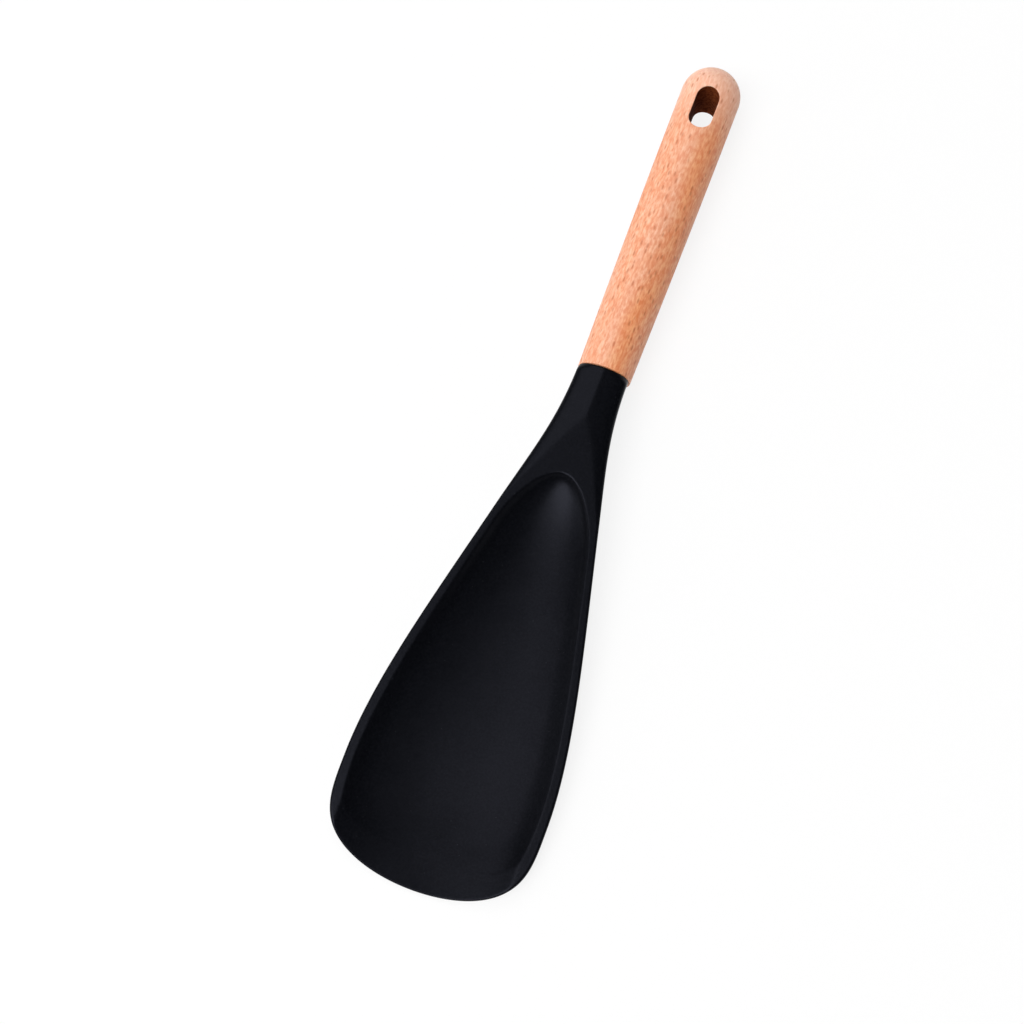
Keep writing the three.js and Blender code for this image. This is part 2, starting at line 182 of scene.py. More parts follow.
def hang_softbox(name, left, up, wide, tall, glow):
    """An oval softbox that faces the tool: its place from the camera and its half sizes are in degrees."""
    half_across = LIGHT_DISTANCE * math.tan(math.radians(wide))
    half_height = LIGHT_DISTANCE * math.tan(math.radians(tall))
    data = bpy.data.lights.new(name, "AREA")
    data.shape = "ELLIPSE"
    data.size = 2 * half_across
    data.size_y = 2 * half_height
    data.energy = glow * math.pi**2 * half_across * half_height
    softbox = bpy.data.objects.new(name, data)
    bpy.context.scene.collection.objects.link(softbox)
    camera_right, camera_up, camera_back = (camera.matrix_world.col[i].to_3d() for i in range(3))
    left, up = math.radians(left), math.radians(up)
    level = camera_back * math.cos(left) - camera_right * math.sin(left)
    towards = level * math.cos(up) + camera_up * math.sin(up)
    across = camera_right * math.cos(left) + camera_back * math.sin(left)
    facing = Matrix((across, towards.cross(across), towards)).transposed()
    softbox.matrix_world = Matrix.Translation(towards * LIGHT_DISTANCE) @ facing.to_4x4()


for name, setting in SOFTBOXES.items():
    hang_softbox(name, **setting)

room = bpy.data.worlds.new("room")
room.use_nodes = True
room.node_tree.nodes["Background"].inputs["Color"].default_value = (1, 1, 1, 1)
room.node_tree.nodes["Background"].inputs["Strength"].default_value = ROOM_LIGHT
bpy.context.scene.world = room
bpy.context.scene.view_settings.view_transform = "Standard"

# Core plate
# The pressed stainless sheet that stiffens the blade, buried in the silicone, which keys through its holes.
# It keeps the faint rolling lines of the sheet that it was cut from.
SHEET_COLOUR = (0.5, 0.51, 0.53, 1)
SHEET_LINE_COLOUR = (0.4, 0.41, 0.43, 1)
SHEET_LINES = {"Across": 1800, "Along": 60, "Detail": 3}
SHEET_ROUGHNESS = (0.28, 0.42)
SHEET_LINE_HEIGHT = 0.00002
NOISE_MIDDLE = (0.3, 0.7)


def new_group(name, kind, inputs, outputs):
    """A node group with named numbers in and out, and its two end nodes."""
    group = bpy.data.node_groups.new(name, kind)
    for title, socket_type in inputs.items():
        group.interface.new_socket(name=title, in_out="INPUT", socket_type=socket_type)
    for title, socket_type in outputs.items():
        group.interface.new_socket(name=title, in_out="OUTPUT", socket_type=socket_type)
    return group, group.nodes.new("NodeGroupInput"), group.nodes.new("NodeGroupOutput")


def stretched_place(group, given):
    """A place on the tool, drawn out so that a pattern comes so many times across and along each metre."""
    place = add(group, "ShaderNodeTexCoord")
    stretch = add(
        group,
        "ShaderNodeCombineXYZ",
        {"X": given.outputs["Across"], "Y": given.outputs["Along"], "Z": given.outputs["Across"]},
    )
    stretched = add(
        group,
        "ShaderNodeVectorMath",
        {0: place.outputs["Object"], 1: stretch.outputs[0]},
        operation="MULTIPLY",
    )
    return stretched.outputs[0]


# Streaks: noise drawn out along the tool, as rolled steel, turned steel and wood fibre show it
streaks, given, wanted = new_group(
    "streaks",
    "ShaderNodeTree",
    {"Across": "NodeSocketFloat", "Along": "NodeSocketFloat", "Detail": "NodeSocketFloat"},
    {"Streak": "NodeSocketFloat"},
)
noise = add(
    streaks,
    "ShaderNodeTexNoise",
    {"Vector": stretched_place(streaks, given), "Scale": 1, "Detail": given.outputs["Detail"]},
)
streaks.links.new(noise.outputs["Fac"], wanted.inputs["Streak"])


def add_streaks(tree, pattern):
    """The streaks' strength over a material, by how many there are and how fine they are."""
    return add(tree, "ShaderNodeGroup", pattern, node_tree=streaks).outputs["Streak"]


def add_range(tree, value, start, end, low, high):
    """A value brought from one range to another, and held there."""
    node = add(
        tree,
        "ShaderNodeMapRange",
        {"Value": value, "From Min": start, "From Max": end, "To Min": low, "To Max": high},
    )
    return node.outputs["Result"]


def add_mix(tree, share, first, second, blend="MIX"):
    """Two colours mixed by a share."""
    node = add(
        tree,
        "ShaderNodeMix",
        {"Factor": share, "A": first, "B": second},
        data_type="RGBA",
        blend_type=blend,
    )
    return node.outputs["Result"]


def add_bump(tree, height, depth, below=None):
    """A bumped normal of a given depth in metres, laid over another one where there is one."""
    node = add(tree, "ShaderNodeBump", {"Height": height, "Distance": depth, "Strength": 1})
    if below is not None:
        tree.links.new(below, node.inputs["Normal"])
    return node.outputs["Normal"]


sheet_steel, tree, shader = new_material("rolled_sheet_steel")
lines = add_streaks(tree, SHEET_LINES)
tree.links.new(add_mix(tree, lines, SHEET_LINE_COLOUR, SHEET_COLOUR), shader.inputs["Base Color"])
tree.links.new(add_range(tree, lines, *NOISE_MIDDLE, *SHEET_ROUGHNESS), shader.inputs["Roughness"])
tree.links.new(add_bump(tree, lines, SHEET_LINE_HEIGHT), shader.inputs["Normal"])
shader.inputs["Metallic"].default_value = 1
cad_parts["core_plate"].material_slots[0].material = sheet_steel

# Core shank
# The stainless rod that carries the plate, turned on a lathe, with ring grooves where the glue holds it.
# The tool's fine rings run round it, across the length of the handle.
ROD_COLOUR = (0.42, 0.43, 0.45, 1)
ROD_RING_COLOUR = (0.33, 0.34, 0.36, 1)
ROD_RINGS = {"Across": 40, "Along": 3500, "Detail": 2}
ROD_ROUGHNESS = (0.22, 0.4)
ROD_RING_HEIGHT = 0.00003

turned_steel, tree, shader = new_material("turned_rod_steel")
rings = add_streaks(tree, ROD_RINGS)
tree.links.new(add_mix(tree, rings, ROD_RING_COLOUR, ROD_COLOUR), shader.inputs["Base Color"])
tree.links.new(add_range(tree, rings, *NOISE_MIDDLE, *ROD_ROUGHNESS), shader.inputs["Roughness"])
tree.links.new(add_bump(tree, rings, ROD_RING_HEIGHT), shader.inputs["Normal"])
shader.inputs["Metallic"].default_value = 1
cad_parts["core_shank"].material_slots[0].material = turned_steel

# Silicone head
# One black silicone moulding over the steel: a gabled neck, a flat shoulder, a rim and a long scoop.
# Its skin is worked out section by section, with the mould's edges softened.
# Places, q in the rules, run from the joint, or from the tip where their names say so.
# Outline from above
SEAM_REACH = 0.00028
TIP_LENGTH = 0.0353
TIP_NOSE_WIDTH = 0.003
TIP_ROUNDNESS = 3.8
NECK_RADIUS = 0.0094
NECK_LIP_RADIUS = 0.0009
NECK_CURVE = 0.0215
FLANK_AT = 0.0552
FLANK_WIDTH = 0.0361
FLANK_SLOPE = 0.234
FLANK_CURVE = 0.044
WIDEST_CURVE = 0.027
# Neck and shoulder
SHOULDER_AT = 0.0197
SHOULDER_RISE = 0.0095
GABLE_SLOPE = 0.15
GABLE_POWER = 4.5
GABLE_START_POWER = 2.8
GABLE_BOXED_BY = 0.003
RIDGE_SOFTNESS = 0.0005
SHOULDER_SOFTNESS = 0.00015
NECK_EDGE_START = 0.0025
NECK_EDGE_RISE = 0.005
NECK_EDGE_BAND = 0.0003
# Rim and lip
RIM_ROUND = 0.0009
ROUND_PER_WALL = 1 / 3
LIP_THICKNESS = 0.0014
TIP_LIFT = 0.0005
# Scoop
SCOOP_DEPTH = 0.0059
SCOOP_START = 0.0418
SCOOP_SHAPED_BY = 0.068
SCOOP_DEEP_BY = 0.078
SCOOP_TO_TIP = 0.0126
SCOOP_BULGE = 2.5
SCOOP_HOLLOW_POWER = 2.2
CORNER_POWER = 4.5
BOWL_RISE = 1.17
BOWL_WALL_SHARE = 0.3
BOWL_WALL_FROM = 0.75
SCOOP_EDGE_SOFTNESS = 0.0008
NARROWEST = 1e-6
RIM_WIDTH = 0.0025
FLOOR_EASE = 0.0006
# Underside
BLADE_WALL = 0.0032
SOLE_WALL = 0.0026
SOLE_TO_TIP = 0.0335
SOLE_SOFTNESS = 0.0002
WALL_TAPER_TO_TIP = 0.0285
SPINE_DEPTH = 0.0035
SPINE_HALF_WIDTH = 0.011
SPINE_FADE_START = 0.06
SPINE_FADE_END = 0.128
NECK_BLEND_START = 0.028
NECK_BLEND_END = 0.072
# Spacing of the skin's points
NECK_CREASE = 0.42
CREASE_BAND = 0.0011
CURVE_STEPS = 400

head_length = head_high.y - head_low.y
blade_half = (head_high.x - head_low.x) / 2
widest_at = head_length - TIP_LENGTH
scoop_end = head_length - SCOOP_TO_TIP
lip_top = LIP_THICKNESS + TIP_LIFT
rim_fall = axis_height + SHOULDER_RISE - SCOOP_DEPTH - SOLE_WALL
rim_slope = rim_fall / (head_length - SOLE_TO_TIP - SHOULDER_AT)


def between(low, high, share):
    """The value that stands at a share of the way from low to high."""
    return low + (high - low) * share


def ease(value, start, end):
    """0 before start, 1 after end and a smooth step between."""
    t = np.clip((value - start) / (end - start), 0, 1)
    return t * t * (3 - 2 * t)


def lower_of(first, second, softness):
    """The lower of two heights, with the crease between them rounded."""
    return (first + second - np.sqrt((first - second) ** 2 + softness**2)) / 2


def bezier(start, leaving, arriving, end):
    """Points along a cubic curve from start to end, drawn towards the two points between."""
    t = np.linspace(0, 1, CURVE_STEPS)[:, None]
    points = [np.array(p) for p in (start, leaving, arriving, end)]
    return (
        points[0] * (1 - t) ** 3
        + points[1] * 3 * t * (1 - t) ** 2
        + points[2] * 3 * t**2 * (1 - t)
        + points[3] * t**3
    )


neck_flare = bezier(
    (0, NECK_RADIUS),
    (NECK_CURVE, NECK_RADIUS),
    (FLANK_AT - NECK_CURVE, FLANK_WIDTH / 2 - FLANK_SLOPE * NECK_CURVE),
    (FLANK_AT, FLANK_WIDTH / 2),
)
blade_flank = bezier(
    (FLANK_AT, FLANK_WIDTH / 2),
    (FLANK_AT + FLANK_CURVE, FLANK_WIDTH / 2 + FLANK_SLOPE * FLANK_CURVE),
    (widest_at - WIDEST_CURVE, blade_half),
    (widest_at, blade_half),
)
plan = np.vstack([neck_flare, blade_flank[1:]])


def half_width(q):
    """Half the head's width: the neck, its flare into the flank, the widest line and the round tip."""
    t = np.clip((q - widest_at) / TIP_LENGTH, 0, 1)
    tip = np.maximum(TIP_NOSE_WIDTH / 2, blade_half * np.sqrt(1 - t**TIP_ROUNDNESS))
    return np.where(q < widest_at, np.interp(q, plan[:, 0], plan[:, 1]), tip)


def rim_plane(q):
    """The sloping plane of the shoulder and rim."""
    return axis_height + SHOULDER_RISE - (q - SHOULDER_AT) * rim_slope


def scoop_reach(q):
    """Half the width that the hollow reaches at the rim plane."""
    top = np.clip((SCOOP_SHAPED_BY - q) / (SCOOP_SHAPED_BY - SCOOP_START), 0, 1)
    return (half_width(np.minimum(q, widest_at)) - RIM_WIDTH) * np.sqrt(1 - top**SCOOP_BULGE)


def floor_line(q):
    """The scoop's floor along the middle, easing to the level of the lip."""
    t = np.clip((SCOOP_DEEP_BY - q) / (SCOOP_DEEP_BY - SCOOP_START), 0, 1)
    floor_height = rim_plane(q) - SCOOP_DEPTH * np.sqrt(1 - t * t)
    return lip_top + FLOOR_EASE * np.logaddexp(0, (floor_height - lip_top) / FLOOR_EASE)


def towards_tip(q):
    """1 where the scoop's mouth ends, and 0 from half its width before that."""
    reach = np.maximum(scoop_reach(q), NARROWEST)
    return np.maximum(0, 1 - (scoop_end - q) / reach)


def scoop_half(q):
    """Half the width of the scoop's mouth, whose corners are rounded at the tip."""
    corner = 1 - np.minimum(1, towards_tip(q)) ** CORNER_POWER
    return scoop_reach(q) * corner ** (1 / CORNER_POWER)


def scoop_surface(x, q):
    """The rim, the lip and the bowl between them, steeper where its wall meets the mouth."""
    across = np.abs(x) / np.maximum(scoop_reach(q), NARROWEST)
    outward = (across**CORNER_POWER + towards_tip(q) ** CORNER_POWER) ** (1 / CORNER_POWER)
    wall = np.clip((outward - BOWL_WALL_FROM) / (1 - BOWL_WALL_FROM), 0, 1) ** 2
    bowl = BOWL_RISE * across**SCOOP_HOLLOW_POWER * (1 - BOWL_WALL_SHARE * (1 - wall))
    hollow = between(floor_line(q), rim_plane(q), bowl)
    return np.where(q > SCOOP_START, np.minimum(rim_plane(q), hollow), rim_plane(q))


def rim_edge(q):
    """The height of the rim and lip along the outline."""
    return scoop_surface(half_width(q), q)


def softened(surface, x, q, softness):
    """A surface averaged over a small patch round each point, the middle most, which rounds its creases."""
    steps = ((-1, 1 / 16), (-0.5, 4 / 16), (0, 6 / 16), (0.5, 4 / 16), (1, 1 / 16))
    total = 0
    for along, along_weight in steps:
        for across, across_weight in steps:
            weight = along_weight * across_weight
            total = total + weight * surface(x + across * softness, q + along * softness)
    return total


def edge_line(q):
    """Height of the widest line: level along the neck, then just under the rim of the blade."""
    rise = between(NECK_EDGE_START, NECK_EDGE_RISE, ease(q, 0, GABLE_BOXED_BY))
    return np.minimum(axis_height + rise, rim_edge(q) - RIM_ROUND)


def blade_wall(q):
    """The blade's thickness, which thins towards the lip."""
    return between(BLADE_WALL, LIP_THICKNESS, ease(q, head_length - WALL_TAPER_TO_TIP, head_length))


def edge_radius(q):
    """The rounding that the blade's edge can take."""
    return np.minimum(RIM_ROUND, blade_wall(q) * ROUND_PER_WALL)


def lower_edge_line(q):
    """Height of the widest line's lower edge, which parts from it as the blade's outer wall opens."""
    wall = rim_edge(q) - blade_wall(q) + edge_radius(q)
    band = edge_line(q) - NECK_EDGE_BAND
    return np.minimum(band, between(band, wall, ease(q, NECK_BLEND_START, NECK_BLEND_END)))


def edge_distance(x, q):
    """Distance from the outline, straight in from it."""
    t = np.clip((q - widest_at) / TIP_LENGTH, 0, 1)
    inside_tip = 1 - t**TIP_ROUNDNESS - (x / blade_half) ** 2
    tip_steepness = np.hypot(TIP_ROUNDNESS * t ** (TIP_ROUNDNESS - 1) / TIP_LENGTH, 2 * x / blade_half**2)
    tip = inside_tip / np.maximum(tip_steepness, 1 / TIP_LENGTH)
    side = half_width(q) - np.abs(x)
    return np.where(q < widest_at, side, np.minimum(side, tip))


def edge_round(x, q):
    """How far the rounded edge falls away near the outline."""
    radius = edge_radius(q)
    into = np.clip(radius - edge_distance(x, q), 0, radius)
    return radius - np.sqrt(radius**2 - into**2)


def gable(x, q):
    """The neck's gable: two flat slopes from a level ridge, rounded into the sides and at the joint."""
    power = between(GABLE_START_POWER, GABLE_POWER, ease(q, 0, GABLE_BOXED_BY))
    across = np.minimum(1, np.abs(x) / half_width(q))
    from_ridge = np.sqrt(x**2 + RIDGE_SOFTNESS**2) - RIDGE_SOFTNESS
    roof = axis_height + SHOULDER_RISE - GABLE_SLOPE * from_ridge
    return between(edge_line(q), roof, (1 - across**power) ** (1 / power))


def top_height(x, q):
    """The upper side: the scoop and rim, cut by the gable at the neck."""
    rim = softened(scoop_surface, x, q, SCOOP_EDGE_SOFTNESS) - edge_round(x, q)
    softness = SHOULDER_SOFTNESS * (1 - ease(q, SHOULDER_AT, SCOOP_SHAPED_BY))
    return np.where(q < SCOOP_SHAPED_BY, lower_of(rim, gable(x, q), softness), rim)


def under_depth(q):
    """How far the underside's middle hangs below the rim: slowly from the neck, then with the floor."""
    start = SCOOP_DEPTH * ease(q, NECK_BLEND_START, SCOOP_DEEP_BY)
    return np.where(q < SCOOP_DEEP_BY, start, rim_edge(q) - floor_line(q))


def bottom_height(x, q):
    """The underside: the round neck runs into the dished shell, its spine and the flat sole."""
    across = np.minimum(1, np.abs(x) / half_width(q))
    edge = lower_edge_line(q)
    neck = (edge - axis_height + NECK_RADIUS) * np.sqrt(1 - across**2)
    hollow = under_depth(q) * (1 - across**SCOOP_HOLLOW_POWER)
    fade = 1 - ease(q, SPINE_FADE_START, SPINE_FADE_END)
    spine = SPINE_DEPTH * fade * np.maximum(0, 1 - (x / SPINE_HALF_WIDTH) ** 2) ** 2
    shell = hollow + spine + edge_radius(q) - edge_round(x, q)
    under = edge - between(neck, shell, ease(q, NECK_BLEND_START, NECK_BLEND_END))
    return (under + np.sqrt(under**2 + SOLE_SOFTNESS**2)) / 2


def finish_mesh(mesh, weld):
    """Weld a mesh's seams, turn its faces outwards and shade it smooth."""
    shape = bmesh.new()
    shape.from_mesh(mesh)
    bmesh.ops.remove_doubles(shape, verts=shape.verts, dist=weld)
    bmesh.ops.recalc_face_normals(shape, faces=shape.faces)
    for face in shape.faces:
        face.smooth = True
    shape.to_mesh(mesh)
    shape.free()


def stretch_out(*stops):
    """Places through (place, steps to the next) stops, evenly spaced between each two."""
    parts = []
    for (start, steps), (end, _) in zip(stops, stops[1:]):
        parts.append(np.linspace(start, end, steps, endpoint=False))
    return np.concatenate(parts + [[stops[-1][0]]])


FLOOR_COLUMNS = 32
CREASE_COLUMNS = 12
RIM_COLUMNS = 16
WALL_COLUMNS = 3
BELLY_COLUMNS = 26
SCOOP_TOP_BY = 0.054
CORNERS_TO_TIP = 0.012
NOSE_TO_TIP = 0.001
HEAD_WELD = 1e-7

# Places where the rows of the skin change their spacing, with the number of rows to the next
HEAD_STOPS = (
    (-SEAM_REACH, 10),
    (NECK_LIP_RADIUS, 76),
    (SCOOP_START - SCOOP_EDGE_SOFTNESS, 48),
    (SCOOP_TOP_BY, 110),
    (widest_at, 50),
    (head_length - CORNERS_TO_TIP, 50),
    (head_length - NOSE_TO_TIP, 14),
    (head_length, 0),
)

q = stretch_out(*HEAD_STOPS)[:, None]
half = half_width(q)
crease = np.maximum(scoop_half(q), half * NECK_CREASE)
band = np.minimum(CREASE_BAND, np.minimum(crease, half - crease) / 2)
floor_share = np.linspace(0, 1, FLOOR_COLUMNS, endpoint=False)
crease_share = np.linspace(-1, 1, CREASE_COLUMNS, endpoint=False)
rim_share = np.sin(np.linspace(0, math.pi / 2, RIM_COLUMNS))
belly_share = np.cos(np.linspace(0, math.pi / 2, BELLY_COLUMNS))
wall_share = np.linspace(0, 1, WALL_COLUMNS + 2)[1:-1]
top_x = np.hstack(
    [
        (crease - band) * floor_share,
        crease + band * crease_share,
        between(crease + band, half, rim_share),
    ]
)
belly_x = half * belly_share
top_z = top_height(top_x, q)
belly_z = bottom_height(belly_x, q)
wall_z = between(top_z[:, -1:], belly_z[:, :1], wall_share)
right_x = np.hstack([top_x, np.broadcast_to(half, wall_z.shape), belly_x])
right_z = np.hstack([top_z, wall_z, belly_z])
section_x = np.hstack([right_x, -right_x[:, -2:0:-1]])
section_z = np.hstack([right_z, right_z[:, -2:0:-1]])
lip = np.clip(NECK_LIP_RADIUS - q - SEAM_REACH, 0, NECK_LIP_RADIUS)
shrink = 1 - (NECK_LIP_RADIUS - np.sqrt(NECK_LIP_RADIUS**2 - lip**2)) / NECK_RADIUS
section_x = section_x * shrink
section_z = between(axis_height, section_z, shrink)
section_y = np.broadcast_to(head_high.y - q, section_x.shape)
stations, columns = section_x.shape
skin = np.stack([section_x, section_y, section_z], axis=2)
joint_centre = skin[0].mean(axis=0)
tip_centre = skin[-1].mean(axis=0)
points = np.vstack([skin.reshape(-1, 3), joint_centre, tip_centre])
faces = []
for station in range(stations - 1):
    for column in range(columns):
        here = station * columns + column
        beside = station * columns + (column + 1) % columns
        faces.append((here, here + columns, beside + columns, beside))
for column in range(columns):
    beside = (column + 1) % columns
    last_row = (stations - 1) * columns
    faces.append((stations * columns, column, beside))
    faces.append((stations * columns + 1, last_row + beside, last_row + column))
head_mesh = bpy.data.meshes.new("silicone_scoop")
head_mesh.from_pydata(points.tolist(), [], faces)
finish_mesh(head_mesh, HEAD_WELD)

SILICONE_COLOUR = (0.0012, 0.0014, 0.0022, 1)
SILICONE_PALE_COLOUR = (0.0034, 0.0037, 0.005, 1)
SILICONE_SPECK_COLOUR = (0.02, 0.021, 0.024, 1)
SILICONE_TINT = (0.76, 0.79, 1, 1)
SILICONE_IOR = 1.41
SILICONE_ROUGHNESS = (0.3, 0.35)
SILICONE_SHEEN = 0.125
SILICONE_GRAIN = {"Across": 2600, "Along": 2600, "Detail": 2}
SILICONE_MOTTLE = {"Across": 1300, "Along": 1300, "Detail": 2}
SILICONE_MOTTLE_RANGE = (0.35, 0.7, 0, 1)
SILICONE_GRAIN_HEIGHT = 0.00002
SILICONE_CLOUDS = {"Across": 90, "Along": 90, "Detail": 3}
SILICONE_SPECKS = {"Across": 420, "Along": 420, "Size": 0.1, "Share": 0.3}

# Flecks: separate spots drawn out along the tool, as dust on silicone, bubbles in resin and pores in wood
flecks, given, wanted = new_group(
    "flecks",
    "ShaderNodeTree",
    {
        "Across": "NodeSocketFloat",
        "Along": "NodeSocketFloat",
        "Size": "NodeSocketFloat",
        "Share": "NodeSocketFloat",
    },
    {"Fleck": "NodeSocketFloat"},
)
cells = add(flecks, "ShaderNodeTexVoronoi", {"Vector": stretched_place(flecks, given), "Scale": 1})
spot = add_range(flecks, cells.outputs["Distance"], given.outputs["Size"], 0, 0, 1)
draw = add(flecks, "ShaderNodeSeparateColor", {"Color": cells.outputs["Color"]})
chosen = add(
    flecks,
    "ShaderNodeMath",
    {0: draw.outputs[0], 1: given.outputs["Share"]},
    operation="LESS_THAN",
)
fleck = add(
    flecks,
    "ShaderNodeMath",
    {0: spot, 1: chosen.outputs[0]},
    operation="MULTIPLY",
)
flecks.links.new(fleck.outputs[0], wanted.inputs["Fleck"])


def add_flecks(tree, pattern):
    """The flecks over a material, by how many cells there are, a fleck's size and the share with one."""
    return add(tree, "ShaderNodeGroup", pattern, node_tree=flecks).outputs["Fleck"]


silicone, tree, shader = new_material("black_silicone")
specks = add_flecks(tree, SILICONE_SPECKS)
grain = add_streaks(tree, SILICONE_GRAIN)
clouds = add_streaks(tree, SILICONE_CLOUDS)
mottle = add_range(tree, add_streaks(tree, SILICONE_MOTTLE), *SILICONE_MOTTLE_RANGE)
colour = add_mix(tree, mottle, SILICONE_COLOUR, SILICONE_PALE_COLOUR)
colour = add_mix(tree, specks, colour, SILICONE_SPECK_COLOUR)
tree.links.new(colour, shader.inputs["Base Color"])
tree.links.new(add_range(tree, clouds, *NOISE_MIDDLE, *SILICONE_ROUGHNESS), shader.inputs["Roughness"])
tree.links.new(add_bump(tree, grain, SILICONE_GRAIN_HEIGHT), shader.inputs["Normal"])
shader.inputs["IOR"].default_value = SILICONE_IOR
shader.inputs["Specular IOR Level"].default_value = SILICONE_SHEEN
shader.inputs["Specular Tint"].default_value = SILICONE_TINT
head_mesh.materials.append(silicone)
head = new_piece("silicone_scoop", head_mesh)
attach(head, "root")
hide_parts("silicone_head")

# Epoxy plug
# The cured amber resin that fills the handle's bore round the shank's tail and keys into its grooves.
# It has set with a few small bubbles in it.
RESIN_COLOUR = (0.69, 0.55, 0.25, 1)
RESIN_DEEP_COLOUR = (0.5, 0.34, 0.1, 1)
RESIN_CLOUDS = {"Across": 220, "Along": 220, "Detail": 3}
RESIN_BUBBLES = {"Across": 900, "Along": 900, "Size": 0.35, "Share": 0.2}
RESIN_BUBBLE_DEPTH = 0.0001
RESIN_ROUGHNESS = (0.18, 0.32)

resin, tree, shader = new_material("amber_resin")
clouds = add_streaks(tree, RESIN_CLOUDS)
bubbles = add_flecks(tree, RESIN_BUBBLES)
tree.links.new(add_mix(tree, clouds, RESIN_COLOUR, RESIN_DEEP_COLOUR), shader.inputs["Base Color"])
tree.links.new(add_range(tree, clouds, *NOISE_MIDDLE, *RESIN_ROUGHNESS), shader.inputs["Roughness"])
tree.links.new(add_bump(tree, bubbles, RESIN_BUBBLE_DEPTH), shader.inputs["Normal"])
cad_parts["epoxy_plug"].material_slots[0].material = resin

# Beech handle
# One stick of beech turned to a slow taper with a domed end, bored for the shank and sanded smooth.
# A hanging slot is milled right through it near the end, and its walls carry painted shade: a dark colour
# for the shade deep in the slot.
HANDLE_SIZES = {
    "Length": handle_high.y - handle_low.y,
    "Axis Height": axis_height,
    "Joint Face": handle_low.y,
    "End Radius": (handle_high.z - handle_low.z) / 2,
    "Joint Radius": 0.00995,
    "Taper Power": 1.7,
    "Edge Round": 0.0004,
    "Slot Width": 0.0086,
    "Slot Length": 0.0171,
    "Slot To End": 0.02075,
    "Slot Edge Round": 0.00035,
    "Bore Radius": 0.005,
    "Bore Depth": 0.0497,
}
HANDLE_COLUMNS = 72
SLOT_ROWS = 56
SLOT_COLUMNS = 24
GRID_SIZE = 1
COLUMN_PACKING = 0.92
ROW_PACKING = 2
HANDLE_WELD = 2e-6


class Measure:
    """A number inside a node tree: arithmetic on it adds the Math nodes that work it out."""

    def __init__(self, tree, source):
        self.tree = tree
        self.source = source

    def work(self, operation, *others):
        node = self.tree.nodes.new("ShaderNodeMath")
        node.operation = operation
        for socket, item in zip(node.inputs, (self, *others)):
            value = item.source if isinstance(item, Measure) else item
            if isinstance(value, bpy.types.NodeSocket):
                self.tree.links.new(value, socket)
            else:
                socket.default_value = value
        return Measure(self.tree, node.outputs[0])

    def __add__(self, other):
        return self.work("ADD", other)

    def __sub__(self, other):
        return self.work("SUBTRACT", other)

    def __rsub__(self, other):
        return Measure(self.tree, other).work("SUBTRACT", self)

    def __mul__(self, other):
        return self.work("MULTIPLY", other)

    def __truediv__(self, other):
        return self.work("DIVIDE", other)

    def __pow__(self, power):
        return self.work("POWER", power)

    __radd__ = __add__
    __rmul__ = __mul__


turning, given, wanted = new_group(
    "turned_handle",
    "GeometryNodeTree",
    {
        "Geometry": "NodeSocketGeometry",
        **{name: "NodeSocketFloat" for name in HANDLE_SIZES},
        "Beech": "NodeSocketMaterial",
        "Slot Beech Painted Shade": "NodeSocketMaterial",
    },
    {"Geometry": "NodeSocketGeometry"},
)
size = {name: Measure(turning, given.outputs[name]) for name in HANDLE_SIZES}
dome_at = size["Length"] - size["End Radius"]
slot_at = size["Length"] - size["Slot To End"]
slot_round = size["Slot Width"] / 2
slot_half = size["Slot Length"] / 2
slot_straight = slot_half - slot_round


def shaft_radius(along):
    """The turned taper, thickest at the dome."""
    left = 1 - (along - size["Edge Round"]) / (dome_at - size["Edge Round"])
    fall = (size["End Radius"] - size["Joint Radius"]) * left.work("MAXIMUM", 0) ** size["Taper Power"]
    return size["End Radius"] - fall


def past_slot_straight(along):
    """How far a place lies beyond the slot's straight sides."""
    return ((along - slot_at).work("ABSOLUTE") - slot_straight).work("MAXIMUM", 0)


def slot_half_width(along):
    """Half the slot's width, 0 beyond its round ends."""
    past = past_slot_straight(along)
    return (slot_round * slot_round - past * past).work("MAXIMUM", 0).work("SQRT")


def packed(share):
    """A share of the way round that packs the columns at the top and bottom, where the slot's edges are."""
    return share - (share * (2 * math.pi)).work("SINE") * (COLUMN_PACKING / (2 * math.pi))


def edge_fall(distance):
    """How far the slot's rounded edge falls away, by the distance from the slot's wall."""
    edge = size["Slot Edge Round"]
    into = (edge - distance).work("MAXIMUM", 0).work("MINIMUM", edge)
    return edge - (edge * edge - into * into).work("MAXIMUM", 0).work("SQRT")


def round_place(radius, along, share):
    """A point at a share of the way round, from the top of the handle to its bottom."""
    angle = packed(share) * math.pi
    return radius * angle.work("SINE"), along, radius * angle.work("COSINE")


def shaft_place(along, share):
    """A point on the shaft's outside, which begins and ends at the slot's edges."""
    radius = shaft_radius(along)
    slot_angle = (slot_half_width(along) / radius).work("ARCSINE")
    angle = slot_angle + (math.pi - slot_angle * 2) * packed(share)
    across = radius * angle.work("SINE")
    height = radius * angle.work("COSINE")
    past = past_slot_straight(along)
    distance = (across * across + past * past).work("SQRT") - slot_round
    return across, along, height - height.work("SIGN") * edge_fall(distance)


def slot_wall_place(along, share):
    """A point on the slot's wall, from its upper edge to its lower one."""
    across = slot_half_width(along)
    radius = shaft_radius(along)
    edge = (radius * radius - across * across).work("SQRT") - size["Slot Edge Round"]
    return across, along, edge * (1 - share * 2)


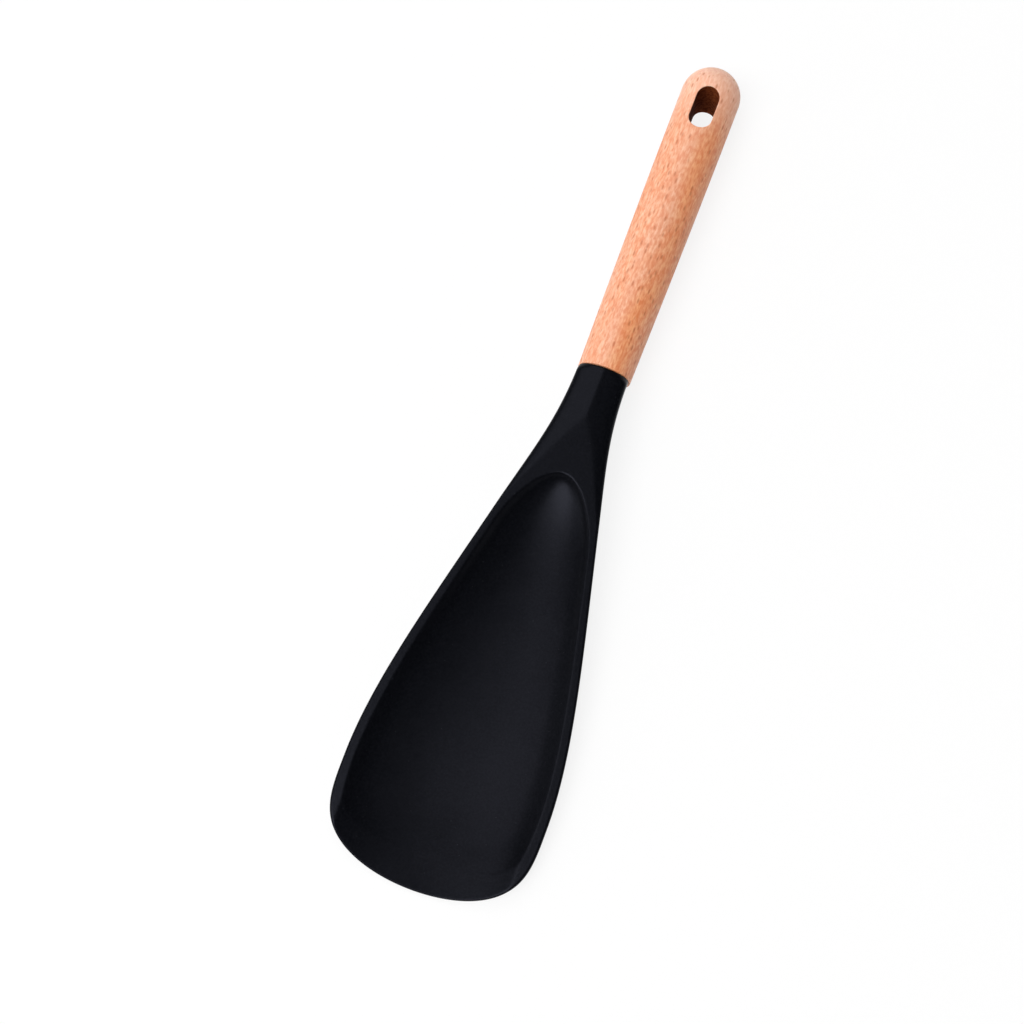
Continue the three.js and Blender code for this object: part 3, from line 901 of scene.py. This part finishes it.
def patch(rows, columns, place, milled=False):
    """One stretch of the handle's right half: a grid whose rows and columns a rule puts in place."""
    grid = add(
        turning,
        "GeometryNodeMeshGrid",
        {"Size X": GRID_SIZE, "Size Y": GRID_SIZE, "Vertices X": rows, "Vertices Y": columns},
    )
    position = add(turning, "GeometryNodeInputPosition")
    parts = add(turning, "ShaderNodeSeparateXYZ", {0: position.outputs[0]})
    row = Measure(turning, parts.outputs["X"]) + GRID_SIZE / 2
    column = Measure(turning, parts.outputs["Y"]) + GRID_SIZE / 2
    across, along, height = place(row, column)
    moved = add(
        turning,
        "ShaderNodeCombineXYZ",
        {
            "X": across.source,
            "Y": (along + size["Joint Face"]).source,
            "Z": (height + size["Axis Height"]).source,
        },
    )
    placed = add(
        turning,
        "GeometryNodeSetPosition",
        {"Geometry": grid.outputs["Mesh"], "Position": moved.outputs[0]},
    )
    marked = add(
        turning,
        "GeometryNodeStoreNamedAttribute",
        {"Geometry": placed.outputs[0], "Name": "milled", "Value": milled},
        data_type="BOOLEAN",
        domain="FACE",
    )
    return marked.outputs[0]


def dome(row, column):
    """The round end, from its pole to the shaft."""
    angle = (1 - row) * (math.pi / 2)
    along = dome_at + size["End Radius"] * angle.work("SINE")
    return round_place(size["End Radius"] * angle.work("COSINE"), along, column)


def above_slot(row, column):
    """The short stretch of shaft between the dome and the slot."""
    end = slot_at + slot_half
    return shaft_place(end + (dome_at - end) * (1 - row) ** ROW_PACKING, column)


def beside_slot(row, column):
    """The shaft beside the slot, its rows packed at the slot's round ends."""
    return shaft_place(slot_at + slot_half * (row * math.pi).work("COSINE"), column)


def below_slot(row, column):
    """The long taper from the slot to the joint."""
    end = slot_at - slot_half
    return shaft_place(end - (end - size["Edge Round"]) * row**ROW_PACKING, column)


def joint_edge(row, column):
    """The rounded edge of the joint face."""
    angle = row * (math.pi / 2)
    radius = size["Joint Radius"] - size["Edge Round"] * (1 - angle.work("COSINE"))
    return round_place(radius, size["Edge Round"] * (1 - angle.work("SINE")), column)


def joint_face(row, column):
    """The flat face that meets the silicone, round the bore."""
    edge = size["Joint Radius"] - size["Edge Round"]
    return round_place(edge - (edge - size["Bore Radius"]) * row, 0, column)


def bore_wall(row, column):
    """The wall of the bore that the shank is glued into."""
    return round_place(size["Bore Radius"], size["Bore Depth"] * row, column)


def bore_end(row, column):
    """The flat end of the bore."""
    return round_place(size["Bore Radius"] * (1 - row), size["Bore Depth"], column)


def slot_wall(row, column):
    """The milled wall of the slot, in the same rows as the shaft beside it."""
    return slot_wall_place(slot_at + slot_half * (row * math.pi).work("COSINE"), column)


# The stretches of the handle's outside and bore, from the dome round to the bore's end, with their rows
STRETCHES = (
    (dome, 36),
    (above_slot, 10),
    (beside_slot, SLOT_ROWS),
    (below_slot, 80),
    (joint_edge, 6),
    (joint_face, 4),
    (bore_wall, 4),
    (bore_end, 3),
)
half_handle = add(turning, "GeometryNodeJoinGeometry")
for stretch, rows in STRETCHES:
    turning.links.new(patch(rows, HANDLE_COLUMNS, stretch), half_handle.inputs[0])
slot_patch = patch(SLOT_ROWS, SLOT_COLUMNS, slot_wall, milled=True)
turning.links.new(slot_patch, half_handle.inputs[0])
other_half = add(
    turning,
    "GeometryNodeTransform",
    {"Geometry": half_handle.outputs[0], "Scale": (-1, 1, 1)},
)
both = add(turning, "GeometryNodeJoinGeometry")
turning.links.new(half_handle.outputs[0], both.inputs[0])
turning.links.new(other_half.outputs[0], both.inputs[0])
welded = add(
    turning,
    "GeometryNodeMergeByDistance",
    {"Geometry": both.outputs[0], "Distance": HANDLE_WELD},
)
realized = add(turning, "GeometryNodeRealizeInstances", {"Geometry": welded.outputs[0]})
sanded = add(
    turning,
    "GeometryNodeSetMaterial",
    {"Geometry": realized.outputs[0], "Material": given.outputs["Beech"]},
)
# The slot's wall faces get the beech with painted shade
slot_faces = add(turning, "GeometryNodeInputNamedAttribute", {"Name": "milled"}, data_type="BOOLEAN")
finished = add(
    turning,
    "GeometryNodeSetMaterial",
    {
        "Geometry": sanded.outputs[0],
        "Selection": slot_faces.outputs["Attribute"],
        "Material": given.outputs["Slot Beech Painted Shade"],
    },
)
turning.links.new(finished.outputs[0], wanted.inputs["Geometry"])


def srgb(red, green, blue):
    """A colour as a picture gives it, from 0 to 255, in the linear numbers that shaders take."""
    shares = (red / 255, green / 255, blue / 255)
    return (*(s / 12.92 if s <= 0.04045 else ((s + 0.055) / 1.055) ** 2.4 for s in shares), 1)


# Sanded beech: pale wood with short darker dashes, fine fibres, warm growth rings and pores, and painted
# light: a paler, less warm domed end
BEECH_PALE = srgb(241, 190, 159)
BEECH_DASH = srgb(224, 143, 104)
BEECH_WARM_TINT = (1, 0.82, 0.61, 1)
BEECH_DOME_LIGHT_COLOUR = srgb(255, 222, 204)
BEECH_FLECK = srgb(190, 100, 56)
BEECH_RINGS = {"Scale": 14.3, "Distortion": 2, "Detail": 2, "Detail Scale": 2, "Phase Offset": 1.28}
BEECH_PATCHES = {"Across": 220, "Along": 60, "Detail": 3}
BEECH_DASHES = {"Across": 1250, "Along": 420, "Detail": 2}
BEECH_FIBRES = {"Across": 1500, "Along": 70, "Detail": 3}
BEECH_FLECKS = {"Across": 800, "Along": 300, "Size": 0.44, "Share": 0.26}
BEECH_RING_RANGE = (0.4, 1, 0, 1)
BEECH_PATCH_RANGE = (0.45, 0.75, 0, 0.5)
BEECH_DASH_RANGE = (0.35, 0.65, 0, 1)
BEECH_FIBRE_RANGE = (0.4, 0.7, 0, 0.6)
BEECH_FLECK_RANGE = (0, 0.6, 0, 0.7)
BEECH_DOME_LIGHT_RANGE = (0, 1, 0, 0.45)
BEECH_DOME_LIGHT_LENGTH = 0.03
BEECH_ROUGHNESS = (0.4, 0.6)
BEECH_FIBRE_HEIGHT = 0.00004
BEECH_FLECK_DEPTH = 0.00001

beech, tree, shader = new_material("sanded_beech")
place = add(tree, "ShaderNodeTexCoord")
rings = add(
    tree,
    "ShaderNodeTexWave",
    {"Vector": place.outputs["Object"], **BEECH_RINGS},
    bands_direction="X",
)
patches = add_streaks(tree, BEECH_PATCHES)
dashes = add_streaks(tree, BEECH_DASHES)
fibres = add_streaks(tree, BEECH_FIBRES)
pores = add_flecks(tree, BEECH_FLECKS)
length = add(tree, "ShaderNodeSeparateXYZ", {0: place.outputs["Object"]}).outputs["Y"]
# Painted light: the last stretch to the domed end is painted paler and loses its warm rings, for the
# brighter light on the dome
dome_light_share = add_range(tree, length, handle_high.y - BEECH_DOME_LIGHT_LENGTH, handle_high.y, 0, 1)
colour = add_mix(tree, add_range(tree, dashes, *BEECH_DASH_RANGE), BEECH_PALE, BEECH_DASH)
colour = add_mix(tree, add_range(tree, fibres, *BEECH_FIBRE_RANGE), colour, BEECH_DASH)
patch_share = add_range(tree, patches, *BEECH_PATCH_RANGE)
colour = add_mix(tree, patch_share, colour, BEECH_WARM_TINT, "MULTIPLY")
warm_share = add_range(tree, rings.outputs["Fac"], *BEECH_RING_RANGE)
warm_share = add_range(tree, dome_light_share, 0, 1, warm_share, 0)
colour = add_mix(tree, warm_share, colour, BEECH_WARM_TINT, "MULTIPLY")
# Painted light: the paler colour laid over the dome
colour = add_mix(tree, add_range(tree, dome_light_share, *BEECH_DOME_LIGHT_RANGE), colour, BEECH_DOME_LIGHT_COLOUR)
colour = add_mix(tree, add_range(tree, pores, *BEECH_FLECK_RANGE), colour, BEECH_FLECK)
tree.links.new(colour, shader.inputs["Base Color"])
tree.links.new(add_range(tree, fibres, *NOISE_MIDDLE, *BEECH_ROUGHNESS), shader.inputs["Roughness"])
fibre_normal = add_bump(tree, fibres, BEECH_FIBRE_HEIGHT)
pore_height = add_range(tree, pores, 0, 1, 1, 0)
tree.links.new(add_bump(tree, pore_height, BEECH_FLECK_DEPTH, fibre_normal), shader.inputs["Normal"])

# Slot beech: the slot's milled walls, rough from the cutter, with painted shade: their colours are darkened
# for the shade deep in the slot
SLOT_SHADE_COLOUR = srgb(140, 72, 37)
SLOT_SHADE_FIBRE_COLOUR = srgb(97, 43, 19)
MILLED_FIBRES = {"Across": 900, "Along": 120, "Detail": 3}
MILLED_FIBRE_RANGE = (0.35, 0.65, 0, 1)
MILLED_ROUGHNESS = (0.75, 0.9)
MILLED_SHEEN = 0.05
MILLED_FIBRE_HEIGHT = 0.00008

slot_beech_painted_shade, tree, shader = new_material("slot_beech_painted_shade")
fibres = add_streaks(tree, MILLED_FIBRES)
dark_share = add_range(tree, fibres, *MILLED_FIBRE_RANGE)
# Painted shade: both wall colours are dark for the shade in the slot, and the fibres only mix them
colour = add_mix(tree, dark_share, SLOT_SHADE_COLOUR, SLOT_SHADE_FIBRE_COLOUR)
tree.links.new(colour, shader.inputs["Base Color"])
tree.links.new(add_range(tree, fibres, *NOISE_MIDDLE, *MILLED_ROUGHNESS), shader.inputs["Roughness"])
tree.links.new(add_bump(tree, fibres, MILLED_FIBRE_HEIGHT), shader.inputs["Normal"])
shader.inputs["Specular IOR Level"].default_value = MILLED_SHEEN

handle = new_piece("turned_handle", bpy.data.meshes.new("turned_handle"))
turned = handle.modifiers.new("turned_handle", "NODES")
turned.node_group = turning
finishes = {"Beech": beech, "Slot Beech Painted Shade": slot_beech_painted_shade}
for item in turning.interface.items_tree:
    if item.name in HANDLE_SIZES:
        turned[item.identifier] = HANDLE_SIZES[item.name]
    elif item.name in finishes:
        turned[item.identifier] = finishes[item.name]
bpy.context.view_layer.update()
evaluated = handle.evaluated_get(bpy.context.evaluated_depsgraph_get())
handle_mesh = bpy.data.meshes.new_from_object(evaluated)
handle.modifiers.remove(turned)
handle.data = handle_mesh
finish_mesh(handle_mesh, HANDLE_WELD)
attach(handle, "root")
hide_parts("beech_handle")
